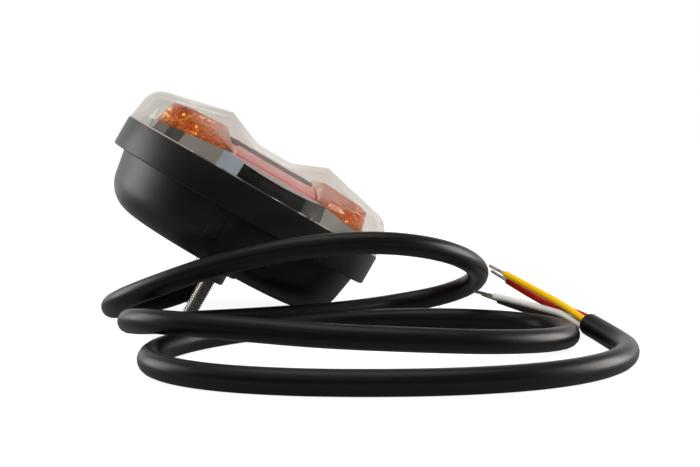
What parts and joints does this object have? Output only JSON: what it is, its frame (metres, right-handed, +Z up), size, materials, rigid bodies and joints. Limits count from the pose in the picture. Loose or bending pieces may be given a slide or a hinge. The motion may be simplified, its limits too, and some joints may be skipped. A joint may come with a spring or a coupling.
{
  "type": "rear combination lamp",
  "caption": "Round LED rear combination lamp: clear valley-shaped lens over amber and red inserts, black bowl housing with threaded studs at the back and a loose multi-core lead.",
  "frame": {"origin": "on the table, under the middle of the lamp's box as it lies on its stud tips and back edge", "axes": "+Z up from the table; +X towards the side that the lamp leans down to; the lead's loops lie towards -Y"},
  "size_m": [0.1311, 0.1522, 0.0617],
  "materials": {
    "housing_black": "fine moulded satin",
    "lens_clear": "clear polished",
    "reflector_bright": "aluminised",
    "amber": "clear tinted",
    "red": "clear tinted",
    "bar_grey": "satin",
    "diode": "clear capped",
    "board": "solder mask",
    "resistor": "glazed",
    "lead_sleeve": "plain",
    "gland_rubber": "matte",
    "zinc_steel": "zinc plated",
    "cable_sheath": "satin extruded",
    "core_yellow": "extruded",
    "core_red": "extruded",
    "core_white": "extruded",
    "core_black": "extruded",
    "tinned": "tinned strands"
  },
  "bodies": {
    "root": {"housing": "housing_black", "lens": "lens_clear", "reflector": "reflector_bright", "indicator_insert_left": "amber", "indicator_insert_right": "amber", "stop_insert": "red", "tail_bar": "bar_grey", "tail_diodes": "diode", "led_board": "board", "indicator_diodes_left": "diode", "indicator_diodes_right": "diode", "stop_diodes": "diode", "ballast_resistors": "resistor", "board_leads": "lead_sleeve", "cable_gland": "gland_rubber", "stud_near": "zinc_steel", "washer_near": "zinc_steel", "nut_near": "zinc_steel", "stud_far": "zinc_steel", "washer_far": "zinc_steel", "nut_far": "zinc_steel", "cable": "cable_sheath", "core_yellow": "core_yellow", "core_red": "core_red", "core_white": "core_white", "core_black": "core_black", "tip_yellow": "tinned", "tip_red": "tinned", "tip_white": "tinned", "tip_black": "tinned"}
  },
  "joints": []
}
